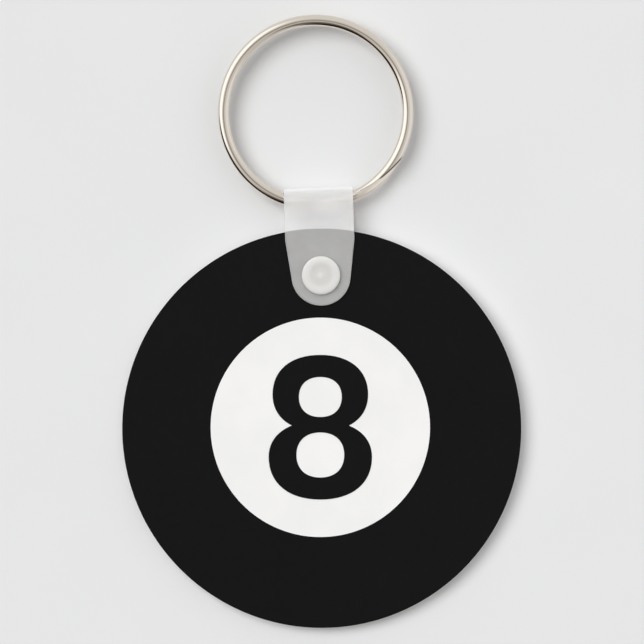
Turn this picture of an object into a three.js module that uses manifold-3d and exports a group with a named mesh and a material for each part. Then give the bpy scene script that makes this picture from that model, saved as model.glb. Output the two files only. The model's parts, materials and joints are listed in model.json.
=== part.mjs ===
// Flat round key tag: a printed plastic disc, a snap strap folded round a split ring.
// Millimetres. The disc lies in XY with its back face on z = 0, +Z out of the printed face
// and +Y towards the key ring. The origin is the centre of the back face.
import * as THREE from "three";
import { mergeVertices } from "three/addons/utils/BufferGeometryUtils.js";
import Module from "manifold-3d";

const wasm = await Module();
wasm.setup();

// disc
const DISC_RADIUS = 28.575;
const CORE_THICK = 1.95;
const EDGE_EASE = 0.1;
const BACK_PANEL_RADIUS = 12;
const DISC_SIDES = 96;

// print
const INK_THICK = 0.05;
const SPOT_RADIUS = 15.68;
const SPOT_X = -0.2;
const SPOT_Y = 0.15;
const SPOT_SIDES = 80;
const BOWL_POWER = 2.22;
const UPPER_BOWL = { y: 4.7, halfWidth: 6.83, up: 5.66, down: 5.29 };
const LOWER_BOWL = { y: -4.24, halfWidth: 7.385, up: 5.19, down: 6.09 };
const UPPER_EYE = { y: 4.34, halfWidth: 3.07, up: 2.86, down: 2.86 };
const LOWER_EYE = { y: -3.95, halfWidth: 3.42, up: 3.22, down: 3.22 };
const BOWL_SIDES = 72;
const EYE_SIDES = 48;

// snap, through a hole near the top of the disc
const SNAP_X = -0.1;
const SNAP_Y = 21.86;
const POST_RADIUS = 1.7;
const POST_LEAD = 0.2;
const CAP_RADIUS = 2.74;
const CAP_THICK = 0.45;
const CAP_EASE = 0.12;
const DISH_RADIUS = 1.6;
const DISH_DEPTH = 0.12;
const NUB_RADIUS = 0.45;
const SOCKET_RADIUS = 2.95;
const SOCKET_THICK = 0.45;
const POST_SET_BACK = 0.08;
const LEAF_HOLE_GAP = 0.3;
const DISC_HOLE_GAP = 0.6;
const SOCKET_GAP = 0.5;
const SNAP_SIDES = 40;

// strap, measured from the snap towards the ring
const STRAP_TILT = 1.9;
const STRAP_WIDTH = 9.86;
const STRAP_THICK = 0.5;
const END_RADIUS = 4.2;
const END_DROP = 0.1;
const TAPER_START = 5.07;
const LIFT_OFF = 4.0;
const HINGE_SEAM = 0.02;
const FOLD_STEPS = 18;
const END_STEPS = 28;

// split ring
const RING_RADIUS = 14.0;
const WIRE_WIDE = 1.6;
const WIRE_HIGH = 0.975;
const COIL_GAP = 0.05;
const WIRE_POWER = 2.6;
const STEP_START = -67;
const STEP_TURN = 36;
const END_BACK = 2;
const RING_STEPS = 144;
const WIRE_SIDES = 12;
const LOOP_CLEARANCE = 0.12;

const DISC_THICK = CORE_THICK + INK_THICK;
const MID_Z = DISC_THICK / 2;
const WIRE_RADIUS_LINE = RING_RADIUS - WIRE_WIDE / 2;
const COIL_LIFT = (WIRE_HIGH + COIL_GAP) / 2;
const RAD = Math.PI / 180;

// the wire crosses the strap on an arc, so the hinge line sits half way up that arc
const ARC_RISE = WIRE_RADIUS_LINE - Math.sqrt(WIRE_RADIUS_LINE ** 2 - (STRAP_WIDTH / 2) ** 2);
const WIRE_REACH = Math.hypot(
  ARC_RISE / 2 + 0.4 * WIRE_WIDE,
  COIL_LIFT + 0.4 * WIRE_HIGH,
);
const LOOP_INNER = Math.max(WIRE_REACH, ARC_RISE / 2 + WIRE_WIDE / 2) + LOOP_CLEARANCE;
const LOOP_OUTER = LOOP_INNER + STRAP_THICK;
const RIM_ABOVE_SNAP = DISC_RADIUS - SNAP_Y;
const RIM_TO_LOOP = 3.91;
const LOOP_Y = RIM_ABOVE_SNAP + RIM_TO_LOOP;
const RING_CENTRE_Y = LOOP_Y - ARC_RISE / 2 + WIRE_RADIUS_LINE;

function look(color, roughness, metalness) {
  return new THREE.MeshStandardMaterial({ color, roughness, metalness });
}

function piece(name, geometry, material) {
  const mesh = new THREE.Mesh(geometry, material);
  mesh.name = name;
  return mesh;
}

function toSolid(geometry) {
  const bare = geometry.index ? geometry.toNonIndexed() : geometry.clone();
  bare.deleteAttribute("normal");
  bare.deleteAttribute("uv");
  const merged = mergeVertices(bare, 1e-5);
  const mesh = new wasm.Mesh({
    numProp: 3,
    vertProperties: new Float32Array(merged.attributes.position.array),
    triVerts: new Uint32Array(merged.index.array),
  });
  return new wasm.Manifold(mesh);
}

function toGeometry(solid) {
  const mesh = solid.getMesh();
  const geometry = new THREE.BufferGeometry();
  const positions = new THREE.BufferAttribute(new Float32Array(mesh.vertProperties), 3);
  geometry.setAttribute("position", positions);
  geometry.setIndex(new THREE.BufferAttribute(new Uint32Array(mesh.triVerts), 1));
  geometry.computeVertexNormals();
  return geometry;
}

// a turned piece about the Z axis, from radius and height pairs
function turned(profile, sides) {
  const points = profile.map(([r, z]) => new THREE.Vector2(r, z));
  const geometry = new THREE.LatheGeometry(points, sides);
  geometry.rotateX(Math.PI / 2);
  return geometry;
}

// a flat plate with the outline of a shape, between two heights
function plate(shape, low, high) {
  const geometry = new THREE.ExtrudeGeometry(shape, {
    depth: high - low,
    bevelEnabled: false,
    curveSegments: 1,
  });
  geometry.translate(0, 0, low);
  return geometry;
}

// a side view in (y, z) carried across the strap's width along X
function acrossStrap(points, width) {
  const shape = new THREE.Shape(points.map(([y, z]) => new THREE.Vector2(y, z)));
  const geometry = new THREE.ExtrudeGeometry(shape, {
    depth: width,
    bevelEnabled: false,
    curveSegments: 1,
  });
  geometry.translate(0, 0, -width / 2);
  const turn = new THREE.Matrix4().makeBasis(
    new THREE.Vector3(0, 1, 0),
    new THREE.Vector3(0, 0, 1),
    new THREE.Vector3(1, 0, 0),
  );
  geometry.applyMatrix4(turn);
  return geometry;
}

function circlePoints(x, y, radius, sides) {
  const points = [];
  for (let i = 0; i < sides; i += 1) {
    const angle = (i / sides) * 2 * Math.PI;
    points.push(new THREE.Vector2(x + radius * Math.cos(angle), y + radius * Math.sin(angle)));
  }
  return points;
}

// a rounded oval whose upper and lower halves may differ in height
function ovalPoints(oval, sides) {
  const points = [];
  const power = 2 / BOWL_POWER;
  for (let i = 0; i < sides; i += 1) {
    const angle = (i / sides) * 2 * Math.PI;
    const c = Math.cos(angle);
    const s = Math.sin(angle);
    const tall = s > 0 ? oval.up : oval.down;
    const x = SPOT_X + oval.halfWidth * Math.sign(c) * Math.abs(c) ** power;
    const y = SPOT_Y + oval.y + tall * Math.sign(s) * Math.abs(s) ** power;
    points.push(new THREE.Vector2(x, y));
  }
  return points;
}

function rodThrough(radius, low, high) {
  const rod = turned([[0, low], [radius, low], [radius, high], [0, high]], SNAP_SIDES);
  return rod;
}

function snapHole(radius) {
  const rod = rodThrough(radius, -5, 5 + DISC_THICK);
  rod.translate(SNAP_X, SNAP_Y, 0);
  return toSolid(rod);
}

function corePlate() {
  const body = turned(
    [
      [0, 0],
      [BACK_PANEL_RADIUS, 0],
      [DISC_RADIUS - EDGE_EASE, 0],
      [DISC_RADIUS, EDGE_EASE],
      [DISC_RADIUS, CORE_THICK],
      [0, CORE_THICK],
    ],
    DISC_SIDES,
  );
  const cut = toSolid(body).subtract(snapHole(POST_RADIUS + DISC_HOLE_GAP));
  return piece("core_plate", toGeometry(cut), look(0xf1f0ee, 0.45, 0));
}

function printField() {
  const shape = new THREE.Shape(circlePoints(0, 0, DISC_RADIUS, DISC_SIDES));
  shape.holes.push(new THREE.Path(circlePoints(SPOT_X, SPOT_Y, SPOT_RADIUS, SPOT_SIDES)));
  const hole = circlePoints(SNAP_X, SNAP_Y, POST_RADIUS + DISC_HOLE_GAP, SNAP_SIDES);
  shape.holes.push(new THREE.Path(hole));
  return piece("print_field", plate(shape, CORE_THICK, DISC_THICK), look(0x181818, 0.5, 0));
}

function printSpot() {
  const shape = new THREE.Shape(circlePoints(SPOT_X, SPOT_Y, SPOT_RADIUS, SPOT_SIDES));
  return piece("print_spot", plate(shape, CORE_THICK, DISC_THICK), look(0xf1f0ee, 0.5, 0));
}

// the figure lies on the spot as one more coat of ink
function printNumeral() {
  const low = DISC_THICK;
  const high = DISC_THICK + INK_THICK;
  const solid = (oval, sides, margin) => {
    const shape = new THREE.Shape(ovalPoints(oval, sides));
    return toSolid(plate(shape, low - margin, high + margin));
  };
  const bowls = solid(UPPER_BOWL, BOWL_SIDES, 0).add(solid(LOWER_BOWL, BOWL_SIDES, 0));
  const eyes = solid(UPPER_EYE, EYE_SIDES, 1).add(solid(LOWER_EYE, EYE_SIDES, 1));
  return piece("print_numeral", toGeometry(bowls.subtract(eyes)), look(0x181818, 0.5, 0));
}

// plan of a strap leaf: a round end about the snap, a taper, then parallel sides
function leafPlan() {
  const half = STRAP_WIDTH / 2;
  const cy = -END_DROP;
  const dx = half;
  const dy = TAPER_START - cy;
  const reach = Math.hypot(dx, dy);
  const touch = Math.atan2(dy, dx) - Math.acos(END_RADIUS / reach);
  const points = [];
  for (let i = 0; i <= END_STEPS; i += 1) {
    const angle = Math.PI - touch + (i / END_STEPS) * (Math.PI + 2 * touch);
    points.push(
      new THREE.Vector2(END_RADIUS * Math.cos(angle), cy + END_RADIUS * Math.sin(angle)),
    );
  }
  points.push(new THREE.Vector2(half, TAPER_START));
  points.push(new THREE.Vector2(half, LOOP_Y + LOOP_OUTER));
  points.push(new THREE.Vector2(-half, LOOP_Y + LOOP_OUTER));
  points.push(new THREE.Vector2(-half, TAPER_START));
  return new THREE.Shape(points);
}

// the leaf leaves the disc's face at LIFT_OFF and runs straight to the loop it is tangent to
function leafSlope() {
  const run = LOOP_Y - LIFT_OFF;
  const reach = Math.hypot(run, MID_Z);
  return Math.asin(LOOP_INNER / reach) - Math.atan2(MID_Z, run);
}

// side view of the front leaf, heights counted from the middle of the disc's thickness
function leafSide() {
  const slope = leafSlope();
  const end = -END_DROP - END_RADIUS - 1;
  const bend = STRAP_THICK * Math.tan(slope / 2);
  const back = [-HINGE_SEAM * Math.cos(slope), -HINGE_SEAM * Math.sin(slope)];
  const at = (radius) => [
    LOOP_Y - radius * Math.sin(slope) + back[0],
    radius * Math.cos(slope) + back[1],
  ];
  return [
    [end, MID_Z],
    [LIFT_OFF, MID_Z],
    at(LOOP_INNER),
    at(LOOP_OUTER),
    [LIFT_OFF - bend, MID_Z + STRAP_THICK],
    [end, MID_Z + STRAP_THICK],
  ];
}

function strapLeaf(side, holeRadius) {
  const profile = leafSide().map(([y, z]) => [y, MID_Z + side * z]);
  const slab = toSolid(acrossStrap(side > 0 ? profile : profile.reverse(), STRAP_WIDTH));
  const tall = LOOP_OUTER + 1;
  const plan = toSolid(plate(leafPlan(), MID_Z - tall, MID_Z + tall));
  const hole = toSolid(rodThrough(holeRadius, MID_Z - tall, MID_Z + tall));
  return toGeometry(slab.intersect(plan).subtract(hole));
}

function strapPlastic() {
  return look(0xe2e0dc, 0.35, 0);
}

function strapFrontLeaf() {
  const geometry = strapLeaf(1, POST_RADIUS + LEAF_HOLE_GAP);
  return piece("strap_front_leaf", geometry, strapPlastic());
}

function strapBackLeaf() {
  const geometry = strapLeaf(-1, POST_RADIUS + SOCKET_GAP);
  return piece("strap_back_leaf", geometry, strapPlastic());
}

// the living hinge: the loop between the two leaves, round the ring's wire
function strapFold() {
  const slope = leafSlope();
  const start = Math.PI / 2 + slope;
  const at = (radius, i) => {
    const angle = start - (i / FOLD_STEPS) * 2 * start;
    return [LOOP_Y + radius * Math.cos(angle), MID_Z + radius * Math.sin(angle)];
  };
  const points = [];
  for (let i = 0; i <= FOLD_STEPS; i += 1) {
    points.push(at(LOOP_INNER, i));
  }
  for (let i = FOLD_STEPS; i >= 0; i -= 1) {
    points.push(at(LOOP_OUTER, i));
  }
  return piece("strap_fold", acrossStrap(points, STRAP_WIDTH), strapPlastic());
}

// cap with a shallow dish and a centre nub, and the post that goes through the disc
function snapStud() {
  const seat = DISC_THICK + STRAP_THICK;
  const top = seat + CAP_THICK;
  const tip = -STRAP_THICK - SOCKET_THICK + POST_SET_BACK;
  const geometry = turned(
    [
      [0, tip],
      [POST_RADIUS - POST_LEAD, tip],
      [POST_RADIUS, tip + POST_LEAD],
      [POST_RADIUS, seat],
      [CAP_RADIUS, seat],
      [CAP_RADIUS, top - CAP_EASE],
      [CAP_RADIUS - CAP_EASE, top],
      [DISH_RADIUS, top],
      [DISH_RADIUS - DISH_DEPTH, top - DISH_DEPTH],
      [NUB_RADIUS + DISH_DEPTH, top - DISH_DEPTH],
      [NUB_RADIUS, top - DISH_DEPTH / 3],
      [0, top - DISH_DEPTH / 3],
    ],
    SNAP_SIDES,
  );
  return piece("snap_stud", geometry, look(0xe4e2de, 0.35, 0));
}

// a collar on the back leaf that the end of the post clicks into
function snapSocket() {
  const inner = POST_RADIUS + SOCKET_GAP;
  const low = -STRAP_THICK - SOCKET_THICK;
  const geometry = turned(
    [
      [inner, low],
      [SOCKET_RADIUS - CAP_EASE, low],
      [SOCKET_RADIUS, low + CAP_EASE],
      [SOCKET_RADIUS, -STRAP_THICK],
      [inner, -STRAP_THICK],
      [inner, low],
    ],
    SNAP_SIDES,
  );
  return piece("snap_socket", geometry, look(0xe4e2de, 0.35, 0));
}

// two close coils joined by one step from the back coil up to the front coil
class CoilPath extends THREE.Curve {
  getPoint(t, target = new THREE.Vector3()) {
    const flat = 360 - STEP_TURN;
    const turn = END_BACK + t * (2 * flat + STEP_TURN - 2 * END_BACK);
    const rise = THREE.MathUtils.smoothstep(turn, flat, flat + STEP_TURN);
    const angle = (STEP_START - turn) * RAD;
    return target.set(
      WIRE_RADIUS_LINE * Math.cos(angle),
      WIRE_RADIUS_LINE * Math.sin(angle),
      COIL_LIFT * (2 * rise - 1),
    );
  }

  // the flat sides of the wire stay level all the way round
  computeFrenetFrames(segments) {
    const frames = { tangents: [], normals: [], binormals: [] };
    for (let i = 0; i <= segments; i += 1) {
      const tangent = this.getTangentAt(i / segments);
      const normal = new THREE.Vector3(0, 0, 1);
      normal.addScaledVector(tangent, -tangent.z).normalize();
      frames.tangents.push(tangent);
      frames.normals.push(normal);
      frames.binormals.push(new THREE.Vector3().crossVectors(tangent, normal));
    }
    return frames;
  }
}

function wireSection() {
  const points = [];
  for (let i = 0; i < WIRE_SIDES; i += 1) {
    const angle = (i / WIRE_SIDES) * 2 * Math.PI;
    const c = Math.cos(angle);
    const s = Math.sin(angle);
    points.push(
      new THREE.Vector2(
        (WIRE_HIGH / 2) * Math.sign(c) * Math.abs(c) ** (2 / WIRE_POWER),
        (WIRE_WIDE / 2) * Math.sign(s) * Math.abs(s) ** (2 / WIRE_POWER),
      ),
    );
  }
  return new THREE.Shape(points);
}

function splitRing() {
  const geometry = new THREE.ExtrudeGeometry(wireSection(), {
    steps: RING_STEPS,
    extrudePath: new CoilPath(),
    curveSegments: 1,
  });
  geometry.translate(0, RING_CENTRE_Y, MID_Z);
  return piece("split_ring", geometry, look(0xcfc4b4, 0.18, 1));
}

const keyTag = new THREE.Group();
keyTag.add(corePlate(), printField(), printSpot(), printNumeral());

const strap = new THREE.Group();
strap.position.set(SNAP_X, SNAP_Y, 0);
strap.rotation.z = STRAP_TILT * RAD;
strap.add(strapBackLeaf(), snapSocket(), strapFold());
strap.add(strapFrontLeaf(), snapStud(), splitRing());
keyTag.add(strap);

export default keyTag;
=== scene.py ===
import json
import math

import bmesh
import bpy
from mathutils import Matrix, Vector


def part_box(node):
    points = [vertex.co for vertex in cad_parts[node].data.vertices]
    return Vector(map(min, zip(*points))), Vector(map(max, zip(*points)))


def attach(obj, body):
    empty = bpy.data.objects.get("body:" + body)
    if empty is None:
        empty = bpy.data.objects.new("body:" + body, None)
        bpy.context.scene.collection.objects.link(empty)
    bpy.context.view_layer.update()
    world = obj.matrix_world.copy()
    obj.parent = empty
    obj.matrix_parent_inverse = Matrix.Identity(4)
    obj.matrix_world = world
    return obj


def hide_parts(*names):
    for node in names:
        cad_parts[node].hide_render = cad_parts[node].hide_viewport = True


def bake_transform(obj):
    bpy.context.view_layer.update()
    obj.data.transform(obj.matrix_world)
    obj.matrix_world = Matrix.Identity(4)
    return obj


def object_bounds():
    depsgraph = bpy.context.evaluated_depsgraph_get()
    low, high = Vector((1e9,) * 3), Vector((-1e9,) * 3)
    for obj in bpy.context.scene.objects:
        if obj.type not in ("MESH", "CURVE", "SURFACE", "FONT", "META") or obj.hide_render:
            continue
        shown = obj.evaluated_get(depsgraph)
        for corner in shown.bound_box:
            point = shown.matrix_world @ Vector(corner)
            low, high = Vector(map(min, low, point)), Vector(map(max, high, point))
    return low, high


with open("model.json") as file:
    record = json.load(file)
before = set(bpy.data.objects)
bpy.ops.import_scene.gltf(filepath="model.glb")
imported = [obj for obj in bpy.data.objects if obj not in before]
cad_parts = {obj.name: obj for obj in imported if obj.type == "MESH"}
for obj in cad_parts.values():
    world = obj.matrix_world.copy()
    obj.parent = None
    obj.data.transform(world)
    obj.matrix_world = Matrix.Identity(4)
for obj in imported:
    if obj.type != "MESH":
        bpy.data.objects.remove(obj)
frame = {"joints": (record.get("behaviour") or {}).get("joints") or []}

cad_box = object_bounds()

# ---------------------------------------------------------------- sizes, in metres
MM = 0.001

core_low, core_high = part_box("core_plate")
field_low, field_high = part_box("print_field")
spot_low, spot_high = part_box("print_spot")
figure_low, figure_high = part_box("print_numeral")
stud_low, stud_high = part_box("snap_stud")
socket_low, socket_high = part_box("snap_socket")
fold_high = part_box("strap_fold")[1]
ring_low, ring_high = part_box("split_ring")

joints = {joint["name"]: joint for joint in frame["joints"]}
loop = Vector(joints["ring_swing"]["pos_m"])
across = -Vector(joints["strap_opening"]["axis"])
snap = Vector(joints["strap_swivel"]["pos_m"])
tilt = math.atan2(across.y, across.x)
mid = loop.z

disc_radius = (core_high.x - core_low.x) / 2
disc_top = field_high.z
round_sides = 256
edge_round = 0.045 * MM
ink = figure_high.z - figure_low.z
spot_centre = (spot_low + spot_high) / 2
spot_radius = (spot_high.x - spot_low.x) / 2
figure_centre = (figure_low + figure_high) / 2

# the figure's four ovals: how far up from the spot's centre, then half width, reach up, reach down
head_along = 4.7 * MM
head_size = (6.83 * MM, 5.66 * MM, 5.29 * MM)
belly_along = -4.24 * MM
belly_size = (7.385 * MM, 5.19 * MM, 6.09 * MM)
upper_eye_along = 4.34 * MM
upper_eye_size = (3.07 * MM, 2.86 * MM, 2.86 * MM)
lower_eye_along = -3.95 * MM
lower_eye_size = (3.42 * MM, 3.22 * MM, 3.22 * MM)
figure_fullness = 0.619

post_radius = 1.7 * MM
disc_hole = post_radius + 0.6 * MM
front_hole = post_radius + 0.3 * MM
back_hole = post_radius + 0.5 * MM
cap_radius = (stud_high.x - stud_low.x) / 2
cap_thick = 0.45 * MM
cap_shoulder = 0.2 * MM
# the cap's top in millimetres, from its shoulder in: a ring's radius, and how far it rises
cap_rings = (
    (2.68, 0.08), (2.52, 0.06), (2.33, 0.04), (2.05, 0.02), (1.8, -0.02), (1.55, -0.05),
    (1.3, -0.03), (1.1, -0.01), (0.62, 0), (0.45, 0.02), (0.25, 0.03), (0.1, 0.01),
)
socket_radius = (socket_high.x - socket_low.x) / 2

strap_thick = 0.5 * MM
strap_half = 4.93 * MM
end_radius = 4.2 * MM
end_drop = 0.1 * MM
taper_start = 5.07 * MM
lift_off = 4.0 * MM
leaf_gap = 0.02 * MM
bend_half = 2.1 * MM
# where the painted glow of the ring sits on the strap, across and along from the snap
painted_glow_across = 1.3 * MM
painted_glow_along = 9.8 * MM
loop_along = (loop - Vector((snap.x, snap.y, mid))).length
loop_outer = fold_high.z - mid
loop_inner = loop_outer - strap_thick

ring_centre_along = ((ring_low + ring_high) / 2 - Vector((snap.x, snap.y, mid))).length
ring_radius = (ring_high.x - ring_low.x) / 2
wire_wide = 1.6 * MM
wire_high = 0.975 * MM
wire_fullness = 0.63
coil_lift = (ring_high.z - ring_low.z - wire_high) / 2
# the slanting cut on the ring's front end is part of a wider circle, placed from the ring's centre
slant_centre = Vector((-1.548, 5.096)) * MM
slant_radius = 18.104 * MM
slant_across = 10.64 * MM
slant_back = 8.4 * MM


# ---------------------------------------------------------------- hand tools
def choose(*things):
    bpy.ops.object.select_all(action="DESELECT")
    for thing in things:
        thing.select_set(True)
    bpy.context.view_layer.objects.active = things[-1]


def named(name):
    thing = bpy.context.object
    thing.name = name
    thing.data.name = name
    return thing


def settle(thing):
    choose(thing)
    bpy.ops.object.transform_apply(location=True, rotation=True, scale=True)
    return thing


def modify(thing, kind, **settings):
    choose(thing)
    step = thing.modifiers.new(kind.title(), kind)
    for key, value in settings.items():
        setattr(step, key, value)
    bpy.ops.object.modifier_apply(modifier=step.name)
    return thing


def cut(thing, tool, operation="DIFFERENCE"):
    modify(thing, "BOOLEAN", object=tool, operation=operation, solver="EXACT")
    bpy.data.objects.remove(tool, do_unlink=True)
    return thing


def soften(thing, width, angle=40):
    return modify(
        thing,
        "BEVEL",
        width=width,
        segments=3,
        limit_method="ANGLE",
        angle_limit=math.radians(angle),
        use_clamp_overlap=False,
    )


def smooth(thing, angle=35):
    choose(thing)
    bpy.ops.object.shade_smooth_by_angle(angle=math.radians(angle))
    return modify(thing, "WEIGHTED_NORMAL", keep_sharp=True, weight=50)


def rod(name, centre, radius, low, high, sides=192):
    bpy.ops.object.select_all(action="DESELECT")
    bpy.ops.mesh.primitive_cylinder_add(
        vertices=sides,
        radius=radius,
        depth=high - low,
        location=(centre.x, centre.y, (low + high) / 2),
    )
    return settle(named(name))


def edit(thing):
    choose(thing)
    bpy.ops.object.mode_set(mode="EDIT")
    bpy.ops.mesh.select_all(action="DESELECT")
    return bmesh.from_edit_mesh(thing.data)


def leave():
    bpy.ops.object.mode_set(mode="OBJECT")


def pick_faces(thing, wanted):
    mesh = bmesh.from_edit_mesh(thing.data)
    bpy.ops.mesh.select_mode(type="FACE")
    for face in mesh.faces:
        face.select_set(wanted(face))
    bmesh.update_edit_mesh(thing.data)


def to_strap(thing):
    """Turns and moves a piece made about the snap to where the strap lies."""
    thing.rotation_euler.z = tilt
    thing.location = (snap.x, snap.y, 0)
    return settle(thing)


def strap_point(across_strap, along_strap):
    """A place on the strap, measured from the snap, in the whole object's frame."""
    return snap + Matrix.Rotation(tilt, 3, "Z") @ Vector((across_strap, along_strap, 0))


def turn_about_x(angle, along, height):
    """Turns what is picked about a line across the strap."""
    bpy.ops.transform.rotate(
        value=-angle,
        orient_axis="X",
        orient_type="GLOBAL",
        center_override=(0, along, height),
    )


def sweep(angle, steps, centre=(0, 0, 0), axis=(0, 0, 1)):
    """Spins what is picked, anticlockwise when the angle is above nought."""
    bpy.ops.mesh.spin(steps=steps, angle=-angle, center=centre, axis=axis)


def tidy_skin():
    bpy.ops.mesh.select_all(action="SELECT")
    bpy.ops.mesh.remove_doubles(threshold=1e-7)
    bpy.ops.mesh.normals_make_consistent(inside=False)


def drop_slivers(thing, reach=0.015 * MM):
    """Merges points that a cut has left almost on top of each other."""
    edit(thing)
    bpy.ops.mesh.select_all(action="SELECT")
    bpy.ops.mesh.remove_doubles(threshold=reach)
    bpy.ops.mesh.dissolve_degenerate(threshold=reach)
    bpy.ops.mesh.select_all(action="SELECT")
    bpy.ops.mesh.normals_make_consistent(inside=False)
    leave()
    return thing


# ---------------------------------------------------------------- finishes
class Flow:
    """A value that runs from one node into the next."""

    def __init__(self, finish, socket):
        self.finish = finish
        self.socket = socket

    def _with(self, operation, first, second):
        return self.finish.add("ShaderNodeMath", {"operation": operation}, {0: first, 1: second})

    def __add__(self, other):
        return self._with("ADD", self, other)

    __radd__ = __add__

    def __sub__(self, other):
        return self._with("SUBTRACT", self, other)

    def __rsub__(self, other):
        return self._with("SUBTRACT", other, self)

    def __mul__(self, other):
        return self._with("MULTIPLY", self, other)

    __rmul__ = __mul__

    def __pow__(self, other):
        return self._with("POWER", self, other)

    def __abs__(self):
        return self._with("ABSOLUTE", self, 0)


class Nodes:
    """A node tree, and the ways of adding to it."""

    def add(self, kind, settings=None, sockets=None, out=0):
        node = self.tree.nodes.new(kind)
        for key, value in (settings or {}).items():
            setattr(node, key, value)
        self.fill(node, sockets or {})
        return Flow(self, node.outputs[out])

    def fill(self, node, sockets):
        for key, value in sockets.items():
            if isinstance(value, Flow):
                self.tree.links.new(value.socket, node.inputs[key])
            else:
                node.inputs[key].default_value = value

    def span(self, value, low, high, start=0.0, end=1.0):
        return self.add(
            "ShaderNodeMapRange",
            {"interpolation_type": "SMOOTHSTEP"},
            {"Value": value, "From Min": low, "From Max": high, "To Min": start, "To Max": end},
        )


class Finish(Nodes):
    """A surface built from nodes, ending in one Principled shader."""

    def __init__(self, name, **constants):
        self.material = bpy.data.materials.new(name)
        self.material.use_nodes = True
        self.tree = self.material.node_tree
        self.tree.nodes.clear()
        self.shader = self.tree.nodes.new("ShaderNodeBsdfPrincipled")
        out = self.tree.nodes.new("ShaderNodeOutputMaterial")
        self.tree.links.new(self.shader.outputs[0], out.inputs[0])
        for key, value in constants.items():
            self.shader.inputs[key.replace("_", " ")].default_value = value

    def feed(self, **sockets):
        self.fill(self.shader, {key.replace("_", " "): value for key, value in sockets.items()})

    def place(self, turn=0.0, origin=(0, 0, 0), stretch=(1, 1, 1), spot=None):
        spot = spot or self.add("ShaderNodeTexCoord", out=3)
        return self.add(
            "ShaderNodeMapping",
            {"vector_type": "TEXTURE"},
            {"Vector": spot, "Location": origin, "Rotation": (0, 0, turn), "Scale": stretch},
        )

    def speckle(self, where, scale, detail=3.0, roughness=0.5):
        return self.add(
            "ShaderNodeTexNoise",
            None,
            {"Vector": where, "Scale": scale, "Detail": detail, "Roughness": roughness},
        )

    def distance(self, where, along):
        """How far a place is from its origin, counting each axis as given."""
        part = self.add("ShaderNodeVectorMath", {"operation": "MULTIPLY"}, {0: where, 1: along})
        return self.add("ShaderNodeVectorMath", {"operation": "LENGTH"}, {0: part}, out=1)

    def blend(self, amount, first, second):
        return self.add(
            "ShaderNodeMix",
            {"data_type": "RGBA"},
            {0: amount, 6: first, 7: second},
            out=2,
        )

    def grain(self, height, depth):
        self.feed(Normal=self.add("ShaderNodeBump", None, {"Height": height, "Distance": depth}))


def tone(level, warm=0.0):
    """A colour from its linear brightness, a little warmer when warm is above nought."""
    return (level * (1 + warm), level, level * (1 - 1.6 * warm), 1)


def sheet_white():
    finish = Finish("white_sheet", Roughness=0.5)
    where = finish.place()
    cloud = finish.speckle(where, 260, 4)
    patches = finish.span(cloud, 0.35, 0.65)
    finish.feed(Base_Color=finish.blend(patches, tone(0.8, 0.012), tone(0.86, 0.008)))
    finish.grain(finish.speckle(where, 5200, 2), 0.004 * MM)
    return finish.material


def ink_black():
    finish = Finish("black_ink", Specular_IOR_Level=0.12)
    where = finish.place()
    cloud = finish.speckle(where, 120, 3)
    finish.feed(Base_Color=finish.blend(cloud, tone(0.0034), tone(0.0046)))
    finish.feed(Roughness=finish.span(finish.speckle(where, 900, 3), 0.3, 0.7, 0.5, 0.6))
    finish.grain(finish.speckle(where, 4200, 3), 0.0025 * MM)
    return finish.material


def ink_white():
    finish = Finish("white_ink", Specular_IOR_Level=0.2)
    where = finish.place(origin=spot_centre)
    cloud = finish.speckle(where, 110, 4, 0.55)
    patches = finish.span(cloud, 0.35, 0.7)
    finish.feed(Base_Color=finish.blend(patches, tone(0.835, 0.008), tone(0.87, 0.012)))
    finish.feed(Roughness=finish.span(finish.speckle(where, 800, 3), 0.3, 0.7, 0.5, 0.62))
    finish.grain(finish.speckle(where, 4200, 3), 0.0025 * MM)
    return finish.material


def milky(name, reach):
    """Milky plastic: light wanders through it as well as passing straight."""
    return Finish(
        name,
        Roughness=0.36,
        Specular_IOR_Level=0.3,
        Subsurface_Weight=1.0,
        Subsurface_Radius=(1.0, 0.95, 0.88),
        Subsurface_Scale=reach,
    )


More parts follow.
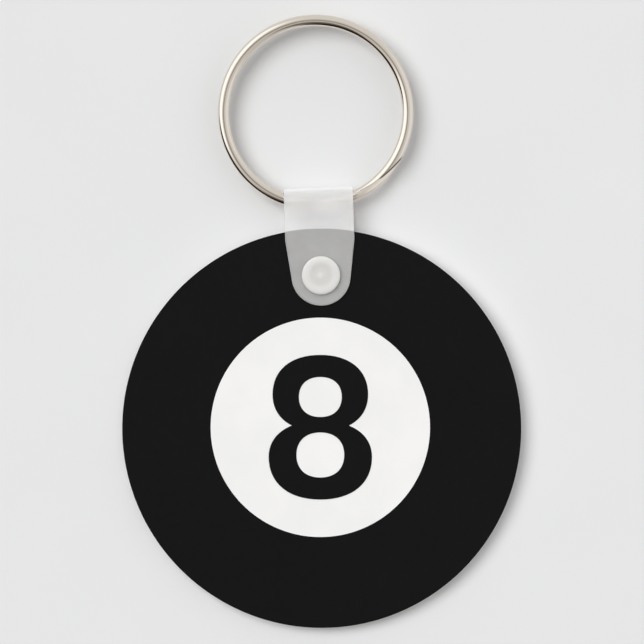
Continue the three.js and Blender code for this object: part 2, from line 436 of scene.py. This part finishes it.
def strap_plastic():
    """Painted lighter and more opaque where the strap stands clear of the disc, with a painted glow
    beside the disc's rim, a painted warm glow of the ring in the loop, and painted highlights along
    its edges and its fold.

    It reads the places and slopes the strap was moulded with, so its pattern bends with it.
    """
    finish = milky("milky_strap", 0.4 * MM)
    spot = finish.add("ShaderNodeAttribute", {"attribute_name": "moulded_at"}, out=1)
    level = finish.add("ShaderNodeAttribute", {"attribute_name": "moulded_level"}, out=2)
    cloud = finish.speckle(finish.place(turn=tilt, origin=snap, spot=spot), 420, 4)
    # Painted highlight: the bevelled edges and the fold, where the surface tilts, are painted
    # whiter; they are also made more opaque, as the plastic is seen at a slant there.
    edge_fold_highlight = finish.span(level, 0.9, 0.5)
    from_middle = finish.distance(spot, (1, 1, 0))
    # Painted light: where the strap stands clear of the disc it is painted lighter and creamier and
    # made more opaque.
    clear = finish.span(from_middle, disc_radius - 0.08 * MM, disc_radius + 0.08 * MM)
    # Painted light: a glow on the strap just beyond the disc's rim.
    rim = finish.span(from_middle, disc_radius + 1.7 * MM, disc_radius + 0.1 * MM) * clear
    # Painted reflection: a warm, creamy patch in the loop where the ring lies under the strap,
    # standing for light the ring reflects into the plastic.
    painted_ring_glow = finish.distance(
        finish.place(turn=tilt, origin=strap_point(painted_glow_across, painted_glow_along), spot=spot),
        (0.75, 1.3, 0),
    )
    painted_ring_glow = finish.span(painted_ring_glow, 2.4 * MM, 0.4 * MM)
    plain = finish.blend(cloud, tone(0.87, 0.012), tone(0.93, 0.016))
    painted_light_tone = finish.blend(clear * 0.7, plain, tone(0.97, 0.014))
    painted_light_tone = finish.blend(painted_ring_glow * 0.8, painted_light_tone, tone(0.97, 0.03))
    lit = finish.blend(rim * 0.8, painted_light_tone, tone(0.98, 0.01))
    finish.feed(Base_Color=finish.blend(edge_fold_highlight, lit, tone(0.995, 0.002)))
    # Alpha carries the same painted light as the colour: more opaque clear of the disc, near its
    # rim, at the ring's painted glow and at the painted edge and fold highlight, with a little
    # random mottling.
    finish.feed(
        Alpha=0.31 + clear * 0.16 + rim * 0.06 + painted_ring_glow * 0.1 + edge_fold_highlight * 0.4 + (cloud - 0.5) * 0.04
    )
    drawn = finish.speckle(finish.place(turn=tilt, stretch=(1, 12, 1), spot=spot), 2600, 2)
    finish.grain(drawn, 0.003 * MM)
    return finish.material


def snap_plastic():
    finish = milky("milky_snap", 0.4 * MM)
    where = finish.place(origin=(snap.x, snap.y, mid))
    cloud = finish.speckle(where, 520, 4)
    radius = finish.distance(where, (1, 1, 0))
    # Painted shade: the sunken ring of the dish is painted darker than the nub and the land round
    # it; the random mottling is the plastic's own.
    dish_painted_shade = finish.span(radius, 0.1 * MM, 0.8 * MM) - finish.span(radius, 1.3 * MM, 2.0 * MM)
    amount = dish_painted_shade * 0.8 + (cloud - 0.5) * 0.3
    finish.feed(Base_Color=finish.blend(amount, tone(0.775, 0.014), tone(0.705, 0.022)))
    finish.feed(Alpha=0.93 + (cloud - 0.5) * 0.04)
    finish.grain(finish.speckle(where, 3000, 2), 0.003 * MM)
    return finish.material


def nickel():
    """Nickel plate over drawn wire, with fine marks that run along the wire, and a painted shade
    line along the scarf joint.
    """
    finish = Finish("nickel_plate", Metallic=1.0)
    centre = (ring_low + ring_high) / 2
    where = finish.place(origin=centre)
    cloud = finish.speckle(where, 300, 4)
    radius = finish.distance(where, (1, 1, 0))
    height = finish.add("ShaderNodeSeparateXYZ", None, {0: where}, out=2)
    along = finish.add("ShaderNodeSeparateXYZ", None, {0: where}, out=0)
    track = finish.add(
        "ShaderNodeCombineXYZ", None, {0: radius * 5200, 1: along * 60, 2: height * 5200}
    )
    drawn = finish.speckle(track, 1.0, 3, 0.6)
    # Painted shade: a thin dark line along the slanting joint at the front coil's tip, only where
    # the surface lies fairly flat, where the crevice lies in shade; it is also rougher there.
    circle = strap_point(slant_centre.x, slant_centre.y + ring_centre_along)
    slant = finish.distance(finish.place(origin=circle), (1, 1, 0)) - slant_radius
    middle = strap_point(slant_across, ring_centre_along - slant_back)
    reach = finish.distance(finish.place(origin=middle), (1, 1, 0))
    joint = finish.span(abs(slant - 0.04 * MM), 0.13 * MM, 0.05 * MM)
    level = finish.add("ShaderNodeAttribute", {"attribute_name": "moulded_level"}, out=2)
    joint = joint * finish.span(reach, 2.5 * MM, 1.7 * MM) * finish.span(level, 0.3, 0.6)
    plate = finish.blend(cloud, (0.83, 0.75, 0.65, 1), (0.89, 0.825, 0.74, 1))
    finish.feed(Base_Color=finish.blend(joint * 0.9, plate, (0.07, 0.055, 0.04, 1)))
    finish.feed(Roughness=finish.span(drawn, 0.3, 0.7, 0.05, 0.11) + joint * 0.3)
    finish.grain(drawn, 0.008 * MM)
    return finish.material


def wear(thing, material):
    thing.data.materials.clear()
    thing.data.materials.append(material)


white_sheet = sheet_white()
black_ink = ink_black()
white_ink = ink_white()
milky_strap = strap_plastic()
milky_snap = snap_plastic()
nickel_plate = nickel()


# ---------------------------------------------------------------- disc
def make_disc():
    disc = rod("disc", Vector((0, 0)), disc_radius, core_low.z, core_high.z, round_sides)
    soften(disc, edge_round)
    cut(disc, rod("drill", snap, disc_hole, core_low.z - MM, core_high.z + MM))
    smooth(disc)
    wear(disc, white_sheet)
    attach(disc, "disc")
    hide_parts("core_plate")


def make_field():
    low = field_low.z
    high = field_high.z
    field = rod("black_field", Vector((0, 0)), disc_radius - edge_round, low, high, round_sides)
    cut(field, rod("drill", snap, disc_hole, low - MM, high + MM))
    cut(field, rod("window", spot_centre, spot_radius, low - MM, high + MM, round_sides))
    smooth(field)
    wear(field, black_ink)
    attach(field, "disc")
    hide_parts("print_field")


def make_spot():
    spot = rod("white_spot", spot_centre, spot_radius, spot_low.z, spot_high.z, round_sides)
    smooth(spot)
    wear(spot, white_ink)
    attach(spot, "disc")
    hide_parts("print_spot")


def oval(name, half_width, up, down, fullness):
    """A flat oval, drawn as a curve whose handles are a little longer than a circle's."""
    bpy.ops.object.select_all(action="DESELECT")
    bpy.ops.curve.primitive_bezier_circle_add(radius=1)
    curve = bpy.context.object.data
    curve.dimensions = "2D"
    curve.fill_mode = "NONE"
    curve.resolution_u = 16
    left, top, right, bottom = curve.splines[0].bezier_points
    for knot, place, back, ahead in (
        (left, (-half_width, 0), (0, -down), (0, up)),
        (top, (0, up), (-half_width, 0), (half_width, 0)),
        (right, (half_width, 0), (0, up), (0, -down)),
        (bottom, (0, -down), (half_width, 0), (-half_width, 0)),
    ):
        knot.handle_left_type = knot.handle_right_type = "FREE"
        knot.co = (*place, 0)
        knot.handle_left = knot.co + fullness * Vector((*back, 0))
        knot.handle_right = knot.co + fullness * Vector((*ahead, 0))
    bpy.ops.object.convert(target="MESH")
    plate = named(name)
    edit(plate)
    bpy.ops.mesh.select_all(action="SELECT")
    bpy.ops.mesh.remove_doubles(threshold=1e-8)
    bpy.ops.mesh.edge_face_add()
    leave()
    return plate


def oval_plate(name, along, half_width, up, down, low, high):
    """An oval of the figure, as a plate between two heights."""
    plate = oval(name, half_width, up, down, figure_fullness)
    plate.location = (figure_centre.x, spot_centre.y + along, low)
    settle(plate)
    edit(plate)
    bpy.ops.mesh.select_all(action="SELECT")
    bpy.ops.mesh.extrude_region_move(TRANSFORM_OT_translate={"value": (0, 0, high - low)})
    tidy_skin()
    leave()
    return plate


def make_figure():
    low = figure_low.z
    high = figure_high.z
    figure = oval_plate("figure_eight", head_along, *head_size, low, high)
    cut(figure, oval_plate("belly", belly_along, *belly_size, low, high), "UNION")
    for along, size in ((upper_eye_along, upper_eye_size), (lower_eye_along, lower_eye_size)):
        cut(figure, oval_plate("eye", along, *size, low - ink, high + ink))
    smooth(figure)
    wear(figure, black_ink)
    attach(figure, "disc")
    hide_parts("print_numeral")


# ---------------------------------------------------------------- strap
def picked_middle(thing):
    mesh = bmesh.from_edit_mesh(thing.data)
    return next(face for face in mesh.faces if face.select).calc_center_median()


def grow(thing, length, down, turn=0.0):
    """Pushes the picked end of the strap on by a length, heading down, and turns it on the spot."""
    step = Vector((0, -math.cos(down), -math.sin(down))) * length
    bpy.ops.mesh.extrude_region_move(TRANSFORM_OT_translate={"value": step})
    if turn:
        middle = picked_middle(thing)
        turn_about_x(turn, middle.y, middle.z)


def make_leaf(thing, side, slope):
    """Runs one end of the loop down to the disc and flat across it, past the snap."""
    outward = Vector((0, -math.cos(slope), -side * math.sin(slope)))
    edit(thing)
    pick_faces(
        thing,
        lambda face: face.normal.dot(outward) > 0.9999
        and side * (face.calc_center_median().z - mid) > loop_inner / 2
        and abs(face.calc_center_median().y - loop_along) < loop_inner / 2,
    )
    end = picked_middle(thing)
    flat_height = disc_top - mid + leaf_gap + strap_thick / 2
    drop = side * (end.z - mid) - flat_height
    bend_at = end.y - drop / math.tan(slope)
    grow(thing, (end.y - bend_at) / math.cos(slope) - bend_half, side * slope)
    steps = 12
    turn = slope / steps
    for step in range(steps):
        down = slope - turn * (step + 0.5)
        grow(thing, 2 * bend_half / steps, side * down, -side * turn)
    grow(thing, bend_at - bend_half + end_radius + MM, 0)
    leave()


def strap_outline():
    """A block of the strap's outline from above: a round end, a taper, and straight sides."""
    low = mid - 2 * loop_outer
    high = mid + 2 * loop_outer
    outline = rod("outline", Vector((0, -end_drop)), end_radius, low, high, 160)
    bpy.ops.object.select_all(action="DESELECT")
    bpy.ops.mesh.primitive_cube_add(
        size=1,
        location=(0, (taper_start + loop_along + 2 * loop_outer) / 2, mid),
        scale=(2 * strap_half, loop_along + 2 * loop_outer - taper_start, high - low),
    )
    block = settle(bpy.context.object)
    choose(block, outline)
    bpy.ops.object.join()
    edit(outline)
    bpy.ops.mesh.select_all(action="SELECT")
    bpy.ops.mesh.convex_hull(join_triangles=True)
    leave()
    return outline


def keep_moulded(thing):
    """Stores where each point was moulded, and how level the surface is there."""
    points = thing.data.vertices
    places = [number for point in points for number in point.co]
    slopes = [abs(point.normal.z) for point in points]
    at = thing.data.attributes.new("moulded_at", "FLOAT_VECTOR", "POINT")
    at.data.foreach_set("vector", places)
    level = thing.data.attributes.new("moulded_level", "FLOAT", "POINT")
    level.data.foreach_set("value", slopes)


def make_strap():
    """One moulding: a leaf on each face of the disc, and the loop that joins them."""
    run = loop_along - lift_off
    rise = disc_top - mid
    slope = math.asin(loop_inner / math.hypot(run, rise)) - math.atan2(rise, run)
    start = math.pi / 2 + slope
    bpy.ops.object.select_all(action="DESELECT")
    bpy.ops.mesh.primitive_plane_add(size=1)
    strap = named("strap")
    strap.scale = (2.4 * strap_half, strap_thick, 1)
    strap.location = (0, (loop_inner + loop_outer) / 2, 0)
    settle(strap)
    strap.rotation_euler.x = start
    strap.location = (0, loop_along, mid)
    settle(strap)
    edit(strap)
    bpy.ops.mesh.select_all(action="SELECT")
    sweep(-2 * start, 96, (0, loop_along, mid), (1, 0, 0))
    tidy_skin()
    leave()
    make_leaf(strap, 1, slope)
    make_leaf(strap, -1, slope)
    edit(strap)
    tidy_skin()
    leave()
    cut(strap, strap_outline(), "INTERSECT")
    cut(strap, rod("drill", Vector((0, 0)), front_hole, mid, mid + 3 * MM, 96))
    cut(strap, rod("drill", Vector((0, 0)), back_hole, mid - 3 * MM, mid, 96))
    drop_slivers(strap)
    soften(strap, 0.1 * MM, angle=50)
    smooth(to_strap(strap), 30)
    keep_moulded(strap)
    wear(strap, milky_strap)
    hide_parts("strap_front_leaf", "strap_back_leaf", "strap_fold")
    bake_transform(strap)


# ---------------------------------------------------------------- snap
def make_stud():
    seat = disc_top + strap_thick + leaf_gap
    shoulder = seat + cap_thick - cap_shoulder
    stud = rod("snap_stud_cap", Vector((0, 0)), cap_radius, seat, shoulder, 128)
    edit(stud)
    pick_faces(stud, lambda face: face.normal.z > 0.9)
    reach = cap_radius
    for ring, rise in cap_rings:
        bpy.ops.mesh.inset(thickness=reach - ring * MM)
        bpy.ops.transform.translate(value=(0, 0, rise * MM))
        reach = ring * MM
    pick_faces(stud, lambda face: face.normal.z < -0.9)
    bpy.ops.mesh.inset(thickness=cap_radius - post_radius)
    bpy.ops.mesh.extrude_region_move(TRANSFORM_OT_translate={"value": (0, 0, stud_low.z - seat)})
    leave()
    soften(stud, 0.07 * MM, angle=50)
    smooth(to_strap(stud), 40)
    wear(stud, milky_snap)
    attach(stud, "strap_front")
    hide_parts("snap_stud")


def make_socket():
    socket = rod("snap_collar", Vector((0, 0)), socket_radius, socket_low.z, socket_high.z, 128)
    cut(socket, rod("drill", Vector((0, 0)), back_hole, socket_low.z - MM, socket_high.z + MM, 96))
    soften(socket, 0.09 * MM, angle=50)
    smooth(to_strap(socket), 40)
    wear(socket, milky_snap)
    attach(socket, "strap_back")
    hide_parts("snap_socket")


# ---------------------------------------------------------------- split ring
def wire_arc(name, bearing, turn, steps, height, spare=0.0):
    """A run of wire at one level, clockwise from a bearing, with its sweep's end still picked."""
    tall = wire_high / 2 + spare
    wire = oval(name, wire_wide / 2 + spare, tall, tall, wire_fullness)
    wire.rotation_euler.x = math.pi / 2
    wire.location = (ring_radius - wire_wide / 2, 0, height)
    settle(wire)
    wire.rotation_euler.z = math.radians(bearing)
    settle(wire)
    edit(wire)
    bpy.ops.mesh.select_all(action="SELECT")
    sweep(-math.radians(turn), steps)
    return wire


def scarf(name, bearing, turn, steps, spare=0.0):
    """The front coil's long slanting tip: full width at its root, nothing at its end."""
    tip = wire_arc(name, bearing, turn, steps, coil_lift, spare)
    tidy_skin()
    leave()
    shape = rod("slant", slant_centre, slant_radius + spare, -3 * MM, 3 * MM, 720)
    return cut(tip, shape, "INTERSECT")


def make_ring():
    """Two flat coils and a long rise between them, the front end lying on the rise as a scarf."""
    rise_from = -31
    rise_turn = 36
    end_back = 2
    tip_root = -24
    rises = 24
    ring = wire_arc(
        "split_ring_wire",
        rise_from - rise_turn - end_back,
        360 - rise_turn - end_back,
        161,
        -coil_lift,
    )
    done = 0.0
    for step in range(rises):
        sweep(-math.radians(rise_turn) / rises, 1)
        t = (step + 1) / rises
        up = 2 * coil_lift * t * t * (3 - 2 * t)
        bpy.ops.transform.translate(value=(0, 0, up - done))
        done = up
    sweep(-math.radians(360 + rise_from - rise_turn - tip_root), 159)
    tidy_skin()
    leave()
    cut(ring, scarf("relief", tip_root - 2, 40, 20, 0.05 * MM))
    tip = scarf("tip", tip_root, 41.5, 21)
    choose(tip, ring)
    bpy.ops.object.join()
    root = Vector((math.cos(math.radians(tip_root)), math.sin(math.radians(tip_root)), 0))
    round_ring = Vector((-root.y, root.x, 0))
    edit(ring)
    pick_faces(
        ring,
        lambda face: abs(face.normal.dot(round_ring)) > 0.999
        and face.calc_center_median().z > 0
        and abs(face.calc_center_median().dot(round_ring)) < 0.01 * MM
        and face.calc_center_median().dot(root) > 0,
    )
    bpy.ops.mesh.delete(type="ONLY_FACE")
    tidy_skin()
    leave()
    drop_slivers(ring, 0.004 * MM)
    ring.location = (0, ring_centre_along, mid)
    settle(ring)
    smooth(to_strap(ring), 45)
    keep_moulded(ring)
    wear(ring, nickel_plate)
    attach(ring, "ring")
    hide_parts("split_ring")


make_disc()
make_field()
make_spot()
make_figure()
make_strap()
make_stud()
make_socket()
make_ring()


# ---------------------------------------------------------------- floor, light, camera
def make_floor():
    """A pale table top that the disc's lower rim and the snap's collar both rest on."""
    near = Vector((0, -disc_radius, core_low.z))
    lean = math.atan2(socket_low.z - near.z, socket_low.y - near.y)
    bpy.ops.object.select_all(action="DESELECT")
    bpy.ops.mesh.primitive_plane_add(size=3.0, location=near, rotation=(lean, 0, 0))
    floor = settle(named("table_top"))
    finish = Finish("pale_table", Roughness=0.8, Specular_IOR_Level=0.1)
    where = finish.place()
    cloud = finish.speckle(where, 45, 4)
    finish.feed(Base_Color=finish.blend(cloud, tone(0.745), tone(0.773)))
    finish.grain(finish.speckle(where, 700, 4), 0.02 * MM)
    floor.data.materials.append(finish.material)


def heading(bearing, height):
    """The direction of a bearing from +X and a height above the table, in degrees."""
    bearing = math.radians(bearing)
    height = math.radians(height)
    flat = math.cos(height)
    return Vector((math.cos(bearing) * flat, math.sin(bearing) * flat, math.sin(height)))


def make_light():
    """A wide soft lamp; what the metal mirrors of it is the pale card in the studio."""
    toward = heading(150, 57)
    lamp = bpy.data.lights.new("soft_lamp", "SUN")
    lamp.angle = math.radians(38)
    lamp.energy = 1.57
    holder = bpy.data.objects.new("soft_lamp", lamp)
    holder.rotation_euler = (-toward).to_track_quat("-Z", "Y").to_euler()
    holder.location = toward
    holder.visible_glossy = False
    bpy.context.collection.objects.link(holder)


class Studio(Nodes):
    """The room round the table: a plain grey with paler and darker cards."""

    def __init__(self, level):
        world = bpy.data.worlds.new("studio")
        world.use_nodes = True
        self.tree = world.node_tree
        self.background = self.tree.nodes["Background"]
        self.level = level
        self.looking = self.add("ShaderNodeTexCoord")
        bpy.context.scene.world = world

    def card(self, bearing, height, reach, soft, level):
        facing = self.add(
            "ShaderNodeVectorMath",
            {"operation": "DOT_PRODUCT"},
            {0: self.looking, 1: heading(bearing, height)},
            out=1,
        )
        inner = math.cos(math.radians(reach - soft))
        outer = math.cos(math.radians(reach + soft))
        self.level = self.level + self.span(facing, outer, inner) * (level - self.level)

    def light(self):
        warm = self.add(
            "ShaderNodeCombineColor",
            None,
            {0: self.level, 1: self.level**1.06 * 1.02, 2: self.level**1.12 * 1.04},
        )
        self.fill(self.background, {"Color": warm})


def make_world():
    studio = Studio(0.62)
    studio.card(90, 30, 50, 20, 0.73)
    studio.card(302, 45, 30, 12, 0.57)
    studio.card(5, 42, 26, 9, 0.84)
    studio.card(266, 60, 15, 7, 0.13)
    studio.card(214, 27, 28, 5, 0.015)
    studio.card(248, 28, 28, 5, 0.015)
    studio.card(154, 57, 23, 5, 1.22)
    studio.card(0, 90, 5, 3, 0.3)
    studio.light()


def make_camera():
    """Straight above the tag, with the whole tag and ring in view."""
    lens = bpy.data.cameras.new("overhead")
    lens.sensor_width = 36
    lens.lens = 234.6
    seen_width = 92.07 * MM
    above = seen_width * lens.lens / lens.sensor_width
    camera = bpy.data.objects.new("overhead", lens)
    middle = (cad_box[0] + cad_box[1]) / 2
    camera.location = (0.04 * MM, middle.y - 0.1 * MM, disc_top + above)
    lens.clip_start = 0.01
    lens.clip_end = 10
    bpy.context.collection.objects.link(camera)
    bpy.context.scene.camera = camera


make_floor()
make_light()
make_world()
make_camera()
bpy.context.scene.view_settings.view_transform = "Standard"
